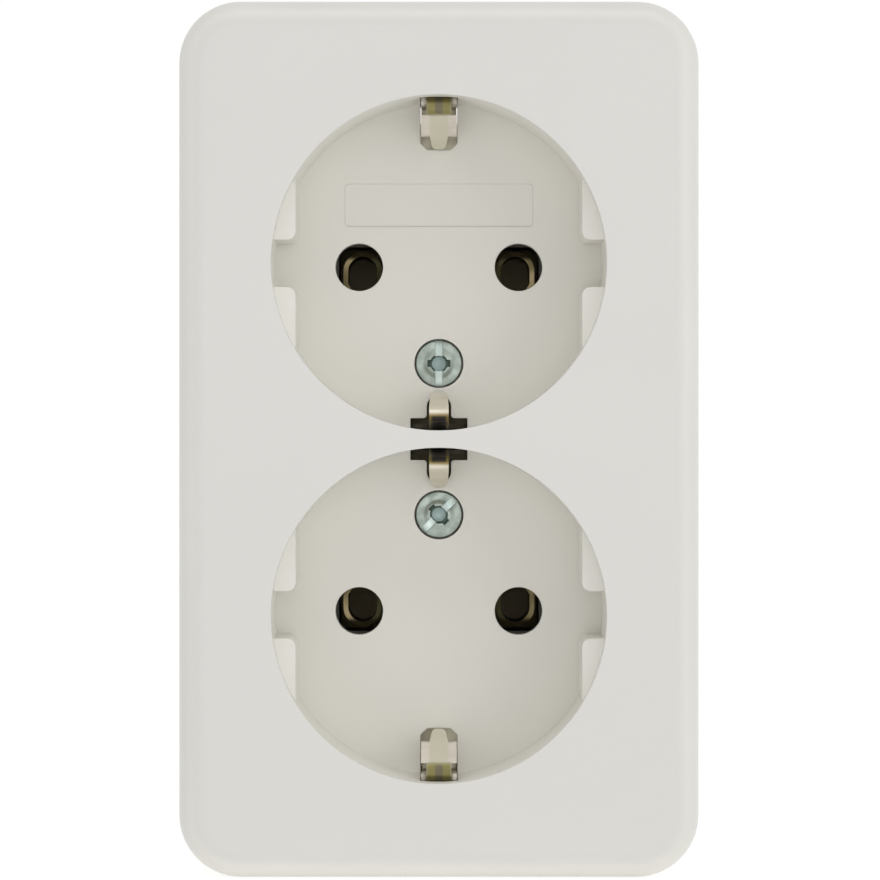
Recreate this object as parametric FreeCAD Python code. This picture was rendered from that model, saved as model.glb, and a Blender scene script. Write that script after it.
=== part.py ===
import FreeCAD, Part
import math
import os

# Surface double socket for two side-earth plugs, in millimetres
# +X is right, +Y goes into the wall, +Z is up, the origin is the centre of the back face

Vector = FreeCAD.Vector
ACROSS = Vector(1, 0, 0)
INTO_WALL = Vector(0, 1, 0)
UP = Vector(0, 0, 1)

# Plug pins and wells
PIN_SPACING = 19.0
PIN_LENGTH = 19.0
PIN_TIP_CLEARANCE = 2.0
PIN_HOLE_RADIUS = 2.84
WELL_RADIUS = 19.5
WELL_DEPTH = 17.5
WELL_WEB = 2.0
WELL_WALL = 1.7
WELL_FLOOR = 2.5

# Cover moulding
END_MARGIN = 11.0
COVER_CORNER = 7.2
COVER_SKIRT = 2.2
COVER_SKIN = 2.4
COVER_FRONT_ROUND = 3.0
COVER_EDGE_GAP = 0.5
COVER_RIB = 1.2
BREAKOUT_WIDTH = 15.0
BREAKOUT_HEIGHT = 13.0
BREAKOUT_SKIN = 1.0

# Guide ribs and label frame in the wells
GUIDE_PROTRUSION = 2.8
GUIDE_DROP = 3.0
GUIDE_NOTCH = 5.5
GUIDE_NOTCH_ROUND = 1.0
LABEL_WIDTH = 22.4
LABEL_HEIGHT = 5.1
LABEL_OFFSET = 7.4
LABEL_DEPTH = 0.2
LABEL_CORNER = 0.5

# Cover screws and their square nuts
COVER_SCREW_INSET = 8.03
COVER_SCREW_SINK = 0.4
COVER_HEAD_RADIUS = 2.74
COVER_HEAD_HEIGHT = 2.2
COVER_HEAD_CLEARANCE = 0.19
SCREW_RADIUS = 1.75
COVER_SCREW_LENGTH = 9.0
SCREW_CLEARANCE = 0.2
SCREW_SLOT_WIDTH = 0.9
SCREW_SLOT_DEPTH = 1.1
UPPER_SLOT_ANGLE = 90.0
LOWER_SLOT_ANGLE = 45.0
BOSS_WALL = 1.0
BOSS_HEIGHT = 2.4
NUT_WIDTH = 6.0
NUT_HEIGHT = 2.8
NUT_CLEARANCE = 0.15
RUNNING_CLEARANCE = 0.05

# Earth strap with its outer hairpin contacts
STRAP_THICKNESS = 0.8
STRAP_WIDTH = 8.0
STRAP_BEND = 1.0
OUTER_CONTACT_WIDTH = 4.2
OUTER_CREST_STRIP = 2.9
OUTER_TONGUE_WIDTH = 2.2
OUTER_TIP_WIDTH = 1.5
OUTER_ROOT_OUTSET = 0.3
OUTER_LEG_LEAN = 0.65
OUTER_CREST_WIDTH = 1.4
OUTER_CREST_BEND = 0.4
OUTER_CREST_DROP = 4.8
OUTER_CREST_TRIM = 4.0
OUTER_SHOULDER_INSET = 2.1
OUTER_TONGUE_INSET = 4.1
OUTER_TIP_INSET = 5.1
OUTER_TIP_RISE = 0.6
OUTER_TIP_CORNER = 0.6
CONTACT_SIDE_CLEARANCE = 0.1
OUTER_SLOT_END_INSET = 5.5
OUTER_SLOT_CHAMFER = 0.8
CHANNEL_CLEARANCE = 0.3
CHANNEL_HEADROOM = 0.8
CHANNEL_BACKING = 1.5

# Earth clip between the wells and its rivet
CLIP_THICKNESS = 0.6
CLIP_WIDTH = 6.4
CLIP_BEND = 0.3
CLIP_LEG_INSET = 0.55
CLIP_CREST_INSET = 1.35
CLIP_CREST_WIDTH = 0.9
CLIP_CREST_RISE = 10.0
CLIP_TIP_INSET = 4.5
CLIP_TIP_RISE = 0.6
CLIP_FINGER_WIDTH = 2.3
CLIP_NARROWING_INSET = 2.9
CLIP_TIP_WIDTH = 2.0
CLIP_TIP_CORNER = 0.9
TEE_BAR_WIDTH = 6.8
TEE_BAR_INSET = 1.5
TEE_BAR_DEPTH = 1.4
TEE_STEM_WIDTH = 2.9
TEE_STEM_INSET = 4.3
TEE_FILLET = 0.4
RIVET_RADIUS = 0.65
RIVET_HEAD_RADIUS = 1.05
RIVET_HEAD_HEIGHT = 0.6
RIVET_TAIL_RADIUS = 1.4
RIVET_TAIL_HEIGHT = 0.8
RIVET_WEB = 3.0
RIVET_CAVITY_WIDTH = 6.4

# Brass rails behind the pin holes
RAIL_THICKNESS = 0.6
RAIL_HEIGHT = 9.5
RAIL_FRONT_GAP = 1.5
RAIL_OUTER_WIDTH = 4.65
RAIL_SHIFT = 0.35
RAIL_OVERRUN = 2.0
RAIL_WAIST_GAP = 0.9
RAIL_GRIP_LENGTH = 3.9
RAIL_WAIST_LENGTH = 2.2
RAIL_RELEASE_LENGTH = 2.4
TAB_WIDTH = 6.0
TAB_BEND = 0.9
TAB_RISE = 4.0
TAB_RELIEF = 0.4
TAB_OVERHANG = 0.4

# Rising cage terminals
CLAMP_LENGTH = 6.0
CLAMP_WALL = 1.0
CLAMP_FLOOR = 1.2
CLAMP_TOP = 1.6
CLAMP_BAR_CLEARANCE = 0.2
CLAMP_END_CLEARANCE = 0.4
CLAMP_BAR_HEADROOM = 0.5
WIRE_GAP = 3.2
WIRE_PINCH = 0.2
TERMINAL_HEAD_RADIUS = 2.9
TERMINAL_HEAD_HEIGHT = 2.0
TERMINAL_HEAD_GAP = 0.1
TERMINAL_TIP_GAP = 0.1
TERMINAL_SHELF = 1.0
TERMINAL_WALL = 1.3
TERMINAL_INNER_WALL = 1.9
TERMINAL_PLAY = 0.6
TERMINAL_OUTER_LIP = 0.8
ARM_STEP = 2.0
ARM_GAP = 0.6

# Contact carrier
CARRIER_CLEARANCE = 0.2
CARRIER_SIDE_WALL = 3.5
CARRIER_END_WALL = 5.0
CARRIER_JOIN = 3.0
RAIL_POCKET_CLEARANCE = 0.5
STRAP_GROOVE_CLEARANCE = 0.5
PIN_WELL_WIDTH = 5.4
PIN_WELL_CLEARANCE = 0.8
SCREW_TIP_ROOM = 0.6
REAR_POCKET_WALL = 1.5
REAR_POCKET_CEILING = 1.5
REAR_POCKET_START = 4.6
REAR_POCKET_END = 16.5
LUG_X = 12.0
LUG_OUTSET = 3.5
LUG_HALF_WIDTH = 3.6
LUG_THICKNESS = 2.5

# Carrier screws and the base
CARRIER_SCREW_RADIUS = 1.3
CARRIER_HEAD_RADIUS = 2.5
CARRIER_HEAD_HEIGHT = 1.8
CARRIER_SCREW_END = 1.0
BASE_THICKNESS = 2.5
BASE_CLEARANCE = 0.3
BASE_RIM_WALL = 1.6
BASE_RIM_HEIGHT = 6.0
BASE_RIM_GAP = 18.0
BASE_SIDE_ROOM = 1.4
PILLAR_HALF_WIDTH = 3.2
PILLAR_HEIGHT = 5.5
PILLAR_ROOM = 0.5
LOCATING_RIB = 1.2
LOCATING_RIB_HEIGHT = 2.0
LOCATING_RIB_LENGTH = 16.0
LOCATING_RIB_GAP = 0.2
LOCATING_RIB_Z = 17.0
WALL_HOLE_SPACING_X = 44.0
WALL_HOLE_SPACING_Z = 66.0
WALL_SLOT_LENGTH = 8.0
WALL_SLOT_WIDTH = 4.4
OBROUND_FLAT = 0.0001
CABLE_ENTRY_Z = 36.0
CABLE_ENTRY_WIDTH = 16.0
CABLE_ENTRY_HEIGHT = 10.0

# Places across the depth
WELL_Z = WELL_RADIUS + WELL_WEB / 2
PIN_X = PIN_SPACING / 2
FLOOR_Y = -(BASE_THICKNESS + PIN_TIP_CLEARANCE + PIN_LENGTH)
FLOOR_BACK_Y = FLOOR_Y + WELL_FLOOR
FRONT_Y = FLOOR_Y - WELL_DEPTH
SKIN_BACK_Y = FRONT_Y + COVER_SKIN
STRAP_FRONT_Y = FLOOR_BACK_Y + BOSS_HEIGHT
STRAP_BACK_Y = STRAP_FRONT_Y + STRAP_THICKNESS
RAIL_FRONT_Y = FLOOR_BACK_Y + RAIL_FRONT_GAP
RAIL_BACK_Y = RAIL_FRONT_Y + RAIL_HEIGHT
CARRIER_FRONT_Y = FLOOR_BACK_Y + CARRIER_CLEARANCE
CARRIER_BACK_Y = -BASE_THICKNESS
HEAD_SEAT_Y = FLOOR_Y + COVER_SCREW_SINK + COVER_HEAD_HEIGHT
NUT_BACK_Y = STRAP_BACK_Y + NUT_HEIGHT

# Levels of the terminals
CLAMP_FLOOR_FRONT_Y = RAIL_BACK_Y + WIRE_GAP
CLAMP_BACK_Y = CLAMP_FLOOR_FRONT_Y + CLAMP_FLOOR
CLAMP_TOP_BACK_Y = RAIL_BACK_Y - STRAP_THICKNESS - CLAMP_BAR_HEADROOM
CLAMP_FRONT_Y = CLAMP_TOP_BACK_Y - CLAMP_TOP
CLAMP_TRAVEL = WIRE_GAP - WIRE_PINCH
CHAMBER_BACK_Y = CLAMP_BACK_Y + TERMINAL_PLAY
SHELF_BACK_Y = CLAMP_FRONT_Y - CLAMP_TRAVEL - CLAMP_END_CLEARANCE
SHELF_FRONT_Y = SHELF_BACK_Y - TERMINAL_SHELF

# Places in the front view
COVER_SCREW_Z = WELL_Z - (WELL_RADIUS - COVER_SCREW_INSET)
OUTER_ROOT_REACH = WELL_RADIUS + OUTER_ROOT_OUTSET
OUTER_SHOULDER_REACH = WELL_RADIUS - OUTER_SHOULDER_INSET
OUTER_TONGUE_REACH = WELL_RADIUS - OUTER_TONGUE_INSET
OUTER_TIP_REACH = WELL_RADIUS - OUTER_TIP_INSET
OUTER_SLOT_END_REACH = WELL_RADIUS - OUTER_SLOT_END_INSET
CLIP_LEG_REACH = WELL_RADIUS - CLIP_LEG_INSET
CLIP_CREST_REACH = WELL_RADIUS - CLIP_CREST_INSET
CLIP_NARROWING_REACH = WELL_RADIUS - CLIP_NARROWING_INSET
CLIP_TIP_REACH = WELL_RADIUS - CLIP_TIP_INSET
TEE_BAR_REACH = WELL_RADIUS - TEE_BAR_INSET
TEE_STEM_REACH = WELL_RADIUS - TEE_STEM_INSET
RAIL_X = PIN_X - RAIL_SHIFT
RAIL_HALF = (RAIL_OUTER_WIDTH - RAIL_THICKNESS) / 2
RAIL_END_Z = WELL_Z + RAIL_OVERRUN
POCKET_INNER_X = RAIL_X - RAIL_OUTER_WIDTH / 2 - RAIL_POCKET_CLEARANCE
POCKET_OUTER_X = RAIL_X + RAIL_OUTER_WIDTH / 2 + RAIL_POCKET_CLEARANCE
CARRIER_HALF_X = POCKET_OUTER_X + CARRIER_SIDE_WALL
POCKET_HALF_Z = RAIL_END_Z + RAIL_POCKET_CLEARANCE
CARRIER_HALF_Z = POCKET_HALF_Z + CARRIER_END_WALL
CLAMP_WINDOW_HALF = TAB_WIDTH / 2 + CLAMP_BAR_CLEARANCE
CLAMP_HALF_Z = CLAMP_WINDOW_HALF + CLAMP_WALL
CHAMBER_HALF_Z = CLAMP_HALF_Z + CLAMP_END_CLEARANCE
TURRET_HALF_Z = CHAMBER_HALF_Z + TERMINAL_WALL
CHAMBER_INSET = CLAMP_LENGTH / 2 + TERMINAL_PLAY
TURRET_INSET = CHAMBER_INSET + TERMINAL_INNER_WALL
TURRET_OUTSET = CLAMP_LENGTH / 2 + TERMINAL_OUTER_LIP
POLE_TERMINAL_X = CARRIER_HALF_X + TURRET_INSET
ARM_X = STRAP_WIDTH / 2 + ARM_STEP
EARTH_TERMINAL_X = -(ARM_X + STRAP_THICKNESS / 2 + ARM_GAP + TURRET_INSET)
EARTH_TERMINAL_Z = -(CARRIER_HALF_Z + TURRET_HALF_Z)
LUG_Z = CARRIER_HALF_Z + LUG_OUTSET
LUG_BACK_Y = -(BASE_THICKNESS + PILLAR_HEIGHT)
LUG_FRONT_Y = LUG_BACK_Y - LUG_THICKNESS
BASE_HALF_X = POLE_TERMINAL_X + TURRET_OUTSET + BASE_SIDE_ROOM + BASE_RIM_WALL
COVER_HALF_X = BASE_HALF_X + BASE_CLEARANCE + COVER_SKIRT
COVER_HALF_Z = WELL_Z + WELL_RADIUS + END_MARGIN
SKIRT_HALF_X = COVER_HALF_X - COVER_SKIRT
SKIRT_HALF_Z = COVER_HALF_Z - COVER_SKIRT
SKIRT_CORNER = COVER_CORNER - COVER_SKIRT
TERMINALS = {
    "line": (POLE_TERMINAL_X, 0.0, 1, RAIL_THICKNESS),
    "neutral": (-POLE_TERMINAL_X, 0.0, -1, RAIL_THICKNESS),
    "earth": (EARTH_TERMINAL_X, EARTH_TERMINAL_Z, -1, STRAP_THICKNESS),
}


# General shapes

def block(x_range, y_range, z_range):
    """Box between the given ends on each axis."""
    low = Vector(min(x_range), min(y_range), min(z_range))
    high = Vector(max(x_range), max(y_range), max(z_range))
    size = high - low
    return Part.makeBox(size.x, size.y, size.z, low)


def rod(x, z, y_back, y_front, radius):
    """Cylinder along the depth of the socket."""
    return Part.makeCylinder(radius, y_back - y_front, Vector(x, y_back, z), -INTO_WALL)


def rounded_wire(points, radii):
    """Closed wire through the corners, each rounded to its own radius."""
    starts = []
    ends = []
    arcs = []
    for index, corner in enumerate(points):
        back = (points[index - 1] - corner).normalize()
        ahead = (points[(index + 1) % len(points)] - corner).normalize()
        radius = radii[index]
        if radius <= 0:
            starts.append(corner)
            ends.append(corner)
            arcs.append(None)
            continue
        half_angle = back.getAngle(ahead) / 2
        reach = radius / math.tan(half_angle)
        inward = (back + ahead).normalize()
        middle = corner + inward * (radius / math.sin(half_angle) - radius)
        starts.append(corner + back * reach)
        ends.append(corner + ahead * reach)
        arcs.append(Part.Arc(starts[-1], middle, ends[-1]).toShape())
    edges = []
    for index, arc in enumerate(arcs):
        if arc is not None:
            edges.append(arc)
        following = starts[(index + 1) % len(points)]
        if ends[index].distanceToPoint(following) > 1e-6:
            edges.append(Part.LineSegment(ends[index], following).toShape())
    return Part.Wire(edges)


def rectangle(half_x, half_z, corner, y, center=(0.0, 0.0)):
    """Rounded rectangle in the front view."""
    signs = ((1, 1), (-1, 1), (-1, -1), (1, -1))
    points = [Vector(center[0] + sx * half_x, y, center[1] + sz * half_z) for sx, sz in signs]
    return rounded_wire(points, [corner] * len(points))


def slab(half_x, half_z, corner, y_back, y_front, center=(0.0, 0.0)):
    """Plate with rounded corners between two depths."""
    outline = rectangle(half_x, half_z, corner, y_back, center)
    return Part.Face(outline).extrude(Vector(0, y_front - y_back, 0))


def offset_corners(points, bends, distance, normal, closed):
    """Corners and radii of a line moved sideways by a distance."""
    count = len(points)
    moved = []
    radii = []
    for index, point in enumerate(points):
        ahead = points[(index + 1) % count] - point
        back = point - points[index - 1]
        if not closed and index == 0:
            back = ahead
        if not closed and index == count - 1:
            ahead = back
        side_back = normal.cross(Vector(back).normalize())
        side_ahead = normal.cross(Vector(ahead).normalize())
        side = (side_back + side_ahead).normalize()
        moved.append(point + side * (distance / side.dot(side_back)))
        turn = normal.dot(back.cross(ahead))
        radii.append(bends[index] - math.copysign(1, turn) * distance if bends[index] else 0)
    return moved, radii


def strip(points, bends, thickness, normal, width):
    """Bent strip about its open centre line, centred across its width."""
    left, left_radii = offset_corners(points, bends, thickness / 2, normal, False)
    right, right_radii = offset_corners(points, bends, -thickness / 2, normal, False)
    outline = rounded_wire(left + right[::-1], left_radii + right_radii[::-1])
    outline.translate(normal * (-width / 2))
    return Part.Face(outline).extrude(normal * width)


def mirrored(shape, normal):
    """Copy of a shape on the other side of the origin."""
    return shape.mirror(Vector(0, 0, 0), normal)


def edges_where(shape, test):
    """Edges of a shape whose box passes the test."""
    return [edge for edge in shape.Edges if test(edge.BoundBox)]


def near(value, target):
    """True where two lengths are the same."""
    return abs(value - target) < 0.01


# Front cover

def cover_shell():
    """Outer box of the cover with its open back and internal stiffening."""
    outer = slab(COVER_HALF_X, COVER_HALF_Z, COVER_CORNER, -COVER_EDGE_GAP, FRONT_Y)
    rim = edges_where(outer, lambda box: near(box.YMin, FRONT_Y) and near(box.YMax, FRONT_Y))
    outer = outer.makeFillet(COVER_FRONT_ROUND, rim)
    inner = slab(SKIRT_HALF_X, SKIRT_HALF_Z, SKIRT_CORNER, -COVER_EDGE_GAP, SKIN_BACK_Y)
    stiffening = []
    for well_z in (WELL_Z, -WELL_Z):
        stiffening.append(rod(0, well_z, FLOOR_BACK_Y, FRONT_Y + COVER_SKIN / 2, WELL_RADIUS + WELL_WALL))
        band = (well_z - COVER_RIB / 2, well_z + COVER_RIB / 2)
        stiffening.append(block((-COVER_HALF_X, COVER_HALF_X), (FLOOR_Y, SKIN_BACK_Y), band))
    stiffening.append(channel_backing(1))
    stiffening.append(channel_backing(-1))
    inside = stiffening[0].multiFuse(stiffening[1:])
    inside = inside.common(outer)
    return outer.cut(inner).fuse(inside)


def channel_backing(side):
    """Pad behind the wall channel of an outer earth contact."""
    half = OUTER_CONTACT_WIDTH / 2 + CONTACT_SIDE_CLEARANCE + CHANNEL_BACKING
    reach = channel_reach() + CHANNEL_BACKING
    z_range = (side * WELL_Z, side * (WELL_Z + reach))
    return block((-half, half), (FLOOR_BACK_Y, FRONT_Y + COVER_SKIN / 2), z_range)


def channel_reach():
    """Distance from the well's axis to the bottom of the wall channel."""
    return OUTER_ROOT_REACH + STRAP_THICKNESS / 2 + CHANNEL_CLEARANCE


def well_cavity(well_z):
    """Round hollow that takes the plug."""
    return rod(0, well_z, FLOOR_Y, FRONT_Y, WELL_RADIUS)


def guide_rib(well_z, side):
    """Flat guide on one side of a well, with its notch on the pin line."""
    half = WELL_RADIUS - GUIDE_PROTRUSION
    top_y = FRONT_Y + GUIDE_DROP
    reach = WELL_RADIUS + WELL_WALL / 2
    z_range = (well_z - WELL_RADIUS, well_z + WELL_RADIUS)
    segment = block((side * half, side * reach), (FLOOR_Y, top_y), z_range)
    notch_z = (well_z - GUIDE_NOTCH / 2, well_z + GUIDE_NOTCH / 2)
    segment = segment.cut(block((side * half, side * reach), (FLOOR_Y, top_y), notch_z))
    mouth = edges_where(segment, lambda box: near(box.XMin, side * half) and near(box.XMax, side * half)
                        and near(box.ZMin, box.ZMax) and near(abs(box.ZMin - well_z), GUIDE_NOTCH / 2))
    segment = segment.makeFillet(GUIDE_NOTCH_ROUND, mouth)
    return segment.common(rod(0, well_z, FLOOR_Y, top_y, WELL_RADIUS + WELL_WALL / 2))


def outer_slot(side):
    """Floor slot and wall channel of an outer earth contact."""
    half = OUTER_CONTACT_WIDTH / 2 + CONTACT_SIDE_CLEARANCE
    well_z = side * WELL_Z
    inner_z = well_z + side * OUTER_SLOT_END_REACH
    outer_z = well_z + side * channel_reach()
    slot = block((-half, half), (FLOOR_BACK_Y, FLOOR_Y), (inner_z, outer_z))
    corners = edges_where(slot, lambda box: near(box.ZMin, inner_z) and near(box.ZMax, inner_z)
                          and near(box.XMin, box.XMax))
    slot = slot.makeChamfer(OUTER_SLOT_CHAMFER, corners)
    top_y = FRONT_Y + OUTER_CREST_DROP - CHANNEL_HEADROOM
    channel_z = (well_z + side * TEE_BAR_REACH, outer_z)
    return slot.fuse(block((-half, half), (FLOOR_BACK_Y, top_y), channel_z))


def tee_slot(side):
    """T-shaped floor slot for a finger of the centre clip."""
    well_z = side * WELL_Z
    bar_near = well_z - side * TEE_BAR_REACH
    bar_far = well_z - side * (TEE_BAR_REACH + TEE_BAR_DEPTH)
    stem_end = well_z - side * (TEE_STEM_REACH + TEE_STEM_WIDTH / 2)
    half_bar = TEE_BAR_WIDTH / 2
    half_stem = TEE_STEM_WIDTH / 2
    depth = (FLOOR_BACK_Y, FLOOR_Y)
    slot = block((-half_bar, half_bar), depth, (bar_near, bar_far))
    slot = slot.fuse(block((-half_stem, half_stem), depth, (bar_far, stem_end))).removeSplitter()
    inner = edges_where(slot, lambda box: near(abs(box.XMin), half_stem) and near(box.XMin, box.XMax)
                        and near(box.ZMin, bar_near) and near(box.ZMax, bar_near))
    slot = slot.makeFillet(TEE_FILLET, inner)
    return slot.fuse(rod(0, stem_end, FLOOR_BACK_Y, FLOOR_Y, half_stem))


def screw_boss(side):
    """Boss behind the well floor that rests on the earth strap."""
    half = COVER_HEAD_RADIUS + COVER_HEAD_CLEARANCE + BOSS_WALL
    z_range = (side * COVER_SCREW_Z - half, side * COVER_SCREW_Z + half)
    return block((-half, half), (STRAP_FRONT_Y, FLOOR_Y), z_range)


def breakout(side):
    """Thinned field in the skirt that is knocked out for a surface cable."""
    half = BREAKOUT_WIDTH / 2
    z_range = (side * (COVER_HALF_Z - COVER_SKIRT - COVER_SKIN), side * (COVER_HALF_Z - BREAKOUT_SKIN))
    return block((-half, half), (0, -BREAKOUT_HEIGHT), z_range)


def front_cover():
    """Cover moulding with both wells."""
    cover = cover_shell()
    cover = cover.cut(well_cavity(WELL_Z)).cut(well_cavity(-WELL_Z))
    added = [screw_boss(1), screw_boss(-1)]
    for well_z in (WELL_Z, -WELL_Z):
        added.extend(guide_rib(well_z, side) for side in (1, -1))
    cover = cover.multiFuse(added)
    removed = []
    for side in (1, -1):
        removed.append(outer_slot(side))
        removed.append(tee_slot(side))
        removed.append(breakout(side))
        head_hole = COVER_HEAD_RADIUS + COVER_HEAD_CLEARANCE
        removed.append(rod(0, side * COVER_SCREW_Z, HEAD_SEAT_Y, FLOOR_Y, head_hole))
        removed.append(rod(0, side * COVER_SCREW_Z, STRAP_FRONT_Y, FLOOR_Y, SCREW_RADIUS + SCREW_CLEARANCE))
        for pin_x in (PIN_X, -PIN_X):
            removed.append(rod(pin_x, side * WELL_Z, FLOOR_BACK_Y, FLOOR_Y, PIN_HOLE_RADIUS))
    label_place = (0.0, WELL_Z + LABEL_OFFSET)
    label_half = (LABEL_WIDTH / 2, LABEL_HEIGHT / 2)
    label_y = (FLOOR_Y + LABEL_DEPTH, FLOOR_Y)
    removed.append(slab(*label_half, LABEL_CORNER, *label_y, label_place))
    cover = cover.cut(removed)
    return cover.removeSplitter()


# Live rails

def rail_loop():
    """Closed brass loop that grips the pins of both wells at one side."""
    half = RAIL_HALF
    waist = (RAIL_WAIST_GAP + RAIL_THICKNESS) / 2
    end_z = RAIL_END_Z - RAIL_THICKNESS / 2
    grip_z = RAIL_END_Z - RAIL_GRIP_LENGTH
    waist_z = grip_z - RAIL_WAIST_LENGTH
    release_z = waist_z - RAIL_RELEASE_LENGTH
    upper = [(half, release_z), (waist, waist_z), (half, grip_z), (half, end_z)]
    lower = [(x, -z) for x, z in reversed(upper)]
    right = lower + upper
    left = [(-x, z) for x, z in reversed(right)]
    points = [Vector(RAIL_X + x, RAIL_BACK_Y, z) for x, z in right + left]
    bends = [half if near(abs(z), end_z) else 0 for x, z in right + left]
    outer = rounded_wire(*offset_corners(points, bends, RAIL_THICKNESS / 2, INTO_WALL, True))
    inner = rounded_wire(*offset_corners(points, bends, -RAIL_THICKNESS / 2, INTO_WALL, True))
    loop = Part.Face(outer).cut(Part.Face(inner))
    return loop.extrude(Vector(0, -RAIL_HEIGHT, 0))


def pole_rail(side):
    """Rail with the tab that reaches into its terminal."""
    leg_x = RAIL_X + RAIL_HALF
    tab_y = RAIL_BACK_Y - RAIL_THICKNESS / 2
    end_x = POLE_TERMINAL_X + CLAMP_LENGTH / 2 + TAB_OVERHANG
    points = [Vector(leg_x, tab_y - TAB_RISE, 0), Vector(leg_x, tab_y, 0), Vector(end_x, tab_y, 0)]
    tab = strip(points, [0, TAB_BEND, 0], RAIL_THICKNESS, UP, TAB_WIDTH)
    relief_x = (leg_x - RAIL_THICKNESS, leg_x + RAIL_THICKNESS)
    half_relief = TAB_WIDTH / 2 + TAB_RELIEF
    relief_y = (RAIL_BACK_Y, RAIL_BACK_Y - TAB_BEND - RAIL_THICKNESS)
    relief = block(relief_x, relief_y, (-half_relief, half_relief))
    rail = rail_loop().cut(relief).fuse(tab).removeSplitter()
    return rail if side > 0 else mirrored(rail, ACROSS)


# Earth parts

def hairpin_line():
    """Centre line of the upper half of the earth strap."""
    strap_y = STRAP_FRONT_Y + STRAP_THICKNESS / 2
    crest_y = FRONT_Y + OUTER_CREST_DROP + STRAP_THICKNESS / 2
    crest_z = WELL_Z + OUTER_ROOT_REACH - OUTER_LEG_LEAN
    return [
        Vector(0, strap_y, 0),
        Vector(0, strap_y, WELL_Z + OUTER_ROOT_REACH),
        Vector(0, crest_y, crest_z),
        Vector(0, crest_y, crest_z - OUTER_CREST_WIDTH),
        Vector(0, FLOOR_Y - OUTER_TIP_RISE, WELL_Z + OUTER_TIP_REACH),
    ]


def tongue_trim(widths, corner, z_range, y_range, side):
    """What is cut away around a tapered tongue with a rounded end; widths are at its root and tip."""
    root, tip = (width / 2 for width in widths)
    root_z, tip_z = z_range
    points = [Vector(root, y_range[0], root_z), Vector(tip, y_range[0], tip_z)]
    points += [Vector(-tip, y_range[0], tip_z), Vector(-root, y_range[0], root_z)]
    tongue = Part.Face(rounded_wire(points, [0, corner, corner, 0]))
    tongue = tongue.extrude(Vector(0, y_range[1] - y_range[0], 0))
    beyond = block((-STRAP_WIDTH, STRAP_WIDTH), y_range, (root_z, tip_z + side * STRAP_WIDTH))
    return beyond.cut(tongue)


def strap_half():
    """Upper half of the strap with its hairpin contact."""
    bends = [0, STRAP_BEND, OUTER_CREST_BEND, OUTER_CREST_BEND, 0]
    half = strip(hairpin_line(), bends, STRAP_THICKNESS, ACROSS, STRAP_WIDTH)
    far_z = WELL_Z + OUTER_ROOT_REACH + STRAP_THICKNESS
    shoulder_z = WELL_Z + OUTER_SHOULDER_REACH
    tongue_z = (WELL_Z + OUTER_TONGUE_REACH, WELL_Z + OUTER_TIP_REACH - STRAP_THICKNESS / 2)
    contact_half = OUTER_CONTACT_WIDTH / 2
    crest_half = OUTER_CREST_STRIP / 2
    tongue_y = (FLOOR_BACK_Y, FRONT_Y)
    crest_y = (FRONT_Y + OUTER_CREST_DROP + OUTER_CREST_TRIM, FRONT_Y)
    widths = (OUTER_TONGUE_WIDTH, OUTER_TIP_WIDTH)
    removed = [tongue_trim(widths, OUTER_TIP_CORNER, tongue_z, tongue_y, -1)]
    for side in (1, -1):
        leg_x = (side * contact_half, side * STRAP_WIDTH)
        removed.append(block(leg_x, (STRAP_BACK_Y, FRONT_Y), (shoulder_z, far_z)))
        removed.append(block(leg_x, tongue_y, (tongue_z[0], shoulder_z)))
        removed.append(block((side * crest_half, side * STRAP_WIDTH), crest_y, (shoulder_z, far_z)))
    return half.cut(removed)


def earth_strap():
    """Strap with both outer contacts and the arm to the earth terminal."""
    upper = strap_half()
    strap_y = STRAP_FRONT_Y + STRAP_THICKNESS / 2
    bar_y = RAIL_BACK_Y - STRAP_THICKNESS / 2
    end_x = EARTH_TERMINAL_X - CLAMP_LENGTH / 2 - TAB_OVERHANG
    line = [
        Vector(0, strap_y, EARTH_TERMINAL_Z),
        Vector(-ARM_X, strap_y, EARTH_TERMINAL_Z),
        Vector(-ARM_X, bar_y, EARTH_TERMINAL_Z),
        Vector(end_x, bar_y, EARTH_TERMINAL_Z),
    ]
    arm = strip(line, [0, STRAP_BEND, STRAP_BEND, 0], STRAP_THICKNESS, UP, TAB_WIDTH)
    strap = upper.multiFuse([mirrored(upper, UP), arm])
    holes = [rod(0, 0, STRAP_BACK_Y, STRAP_FRONT_Y, RIVET_RADIUS + RUNNING_CLEARANCE)]
    for side in (1, -1):
        hole_radius = SCREW_RADIUS + SCREW_CLEARANCE
        holes.append(rod(0, side * COVER_SCREW_Z, STRAP_BACK_Y, STRAP_FRONT_Y, hole_radius))
    return strap.cut(holes).removeSplitter()


def clip_half():
    """Upper half of the centre clip with its finger."""
    base_y = STRAP_FRONT_Y - CLIP_THICKNESS / 2
    leg_z = WELL_Z - CLIP_LEG_REACH
    crest_y = FLOOR_Y - CLIP_CREST_RISE
    crest_z = WELL_Z - CLIP_CREST_REACH
    line = [
        Vector(0, base_y, 0),
        Vector(0, base_y, leg_z),
        Vector(0, FLOOR_Y, leg_z),
        Vector(0, crest_y, crest_z),
        Vector(0, crest_y, crest_z + CLIP_CREST_WIDTH),
        Vector(0, FLOOR_Y - CLIP_TIP_RISE, WELL_Z - CLIP_TIP_REACH),
    ]
    bends = [0, CLIP_BEND, 0, CLIP_BEND, CLIP_BEND, 0]
    half = strip(line, bends, CLIP_THICKNESS, ACROSS, CLIP_WIDTH)
    finger_half = CLIP_FINGER_WIDTH / 2
    finger_y = (FLOOR_BACK_Y, FRONT_Y)
    tip_z = (WELL_Z - CLIP_NARROWING_REACH, WELL_Z - CLIP_TIP_REACH + CLIP_THICKNESS / 2)
    widths = (CLIP_FINGER_WIDTH, CLIP_TIP_WIDTH)
    removed = [tongue_trim(widths, CLIP_TIP_CORNER, tip_z, finger_y, 1)]
    for side in (1, -1):
        removed.append(block((side * finger_half, side * CLIP_WIDTH), finger_y, (0, tip_z[0])))
    return half.cut(removed)


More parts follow.
